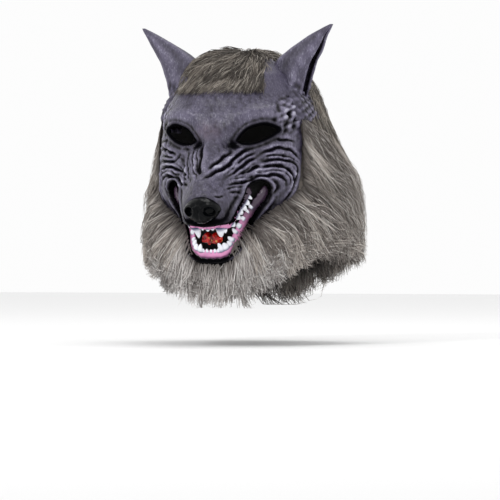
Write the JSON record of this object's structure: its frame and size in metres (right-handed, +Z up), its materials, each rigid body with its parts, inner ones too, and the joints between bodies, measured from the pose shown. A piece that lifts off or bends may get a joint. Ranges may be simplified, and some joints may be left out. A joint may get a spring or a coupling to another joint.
{
  "type": "werewolf mask",
  "caption": "Full-head costume mask: moulded latex wolf face with open jaws and upright ears, on a cloth hood with long fur, open below for a head",
  "frame": {"origin": "where the crown of a head touches the inside of the hood", "axes": "+Z up, the face looks along -Y, +X is the wearer's left"},
  "size_m": [0.2656, 0.3116, 0.3196],
  "materials": {
    "latex": "grey purple latex, dry-brushed light on its ridges, semi-gloss",
    "ear_latex": "grey purple latex with fine combed grooves, semi-gloss",
    "nose_paint": "gloss black paint on latex",
    "gum_paint": "gloss pink paint on latex",
    "tooth_paint": "gloss off-white paint on latex",
    "tongue_paint": "gloss red paint on latex",
    "liner_cloth": "matt black cloth",
    "hood_cloth": "dark knit backing of the fur",
    "fur": "long grey-brown acrylic fur, dark at the roots and pale at the tips"
  },
  "bodies": {
    "root": {"latex_face": "latex", "ear_left": "ear_latex", "ear_right": "ear_latex", "nose_pad": "nose_paint", "upper_gum": "gum_paint", "lower_gum": "gum_paint", "upper_teeth": "tooth_paint", "lower_teeth": "tooth_paint", "tongue": "tongue_paint", "mouth_liner": "liner_cloth", "cloth_hood": "hood_cloth", "mane_fur": "fur"}
  },
  "joints": []
}
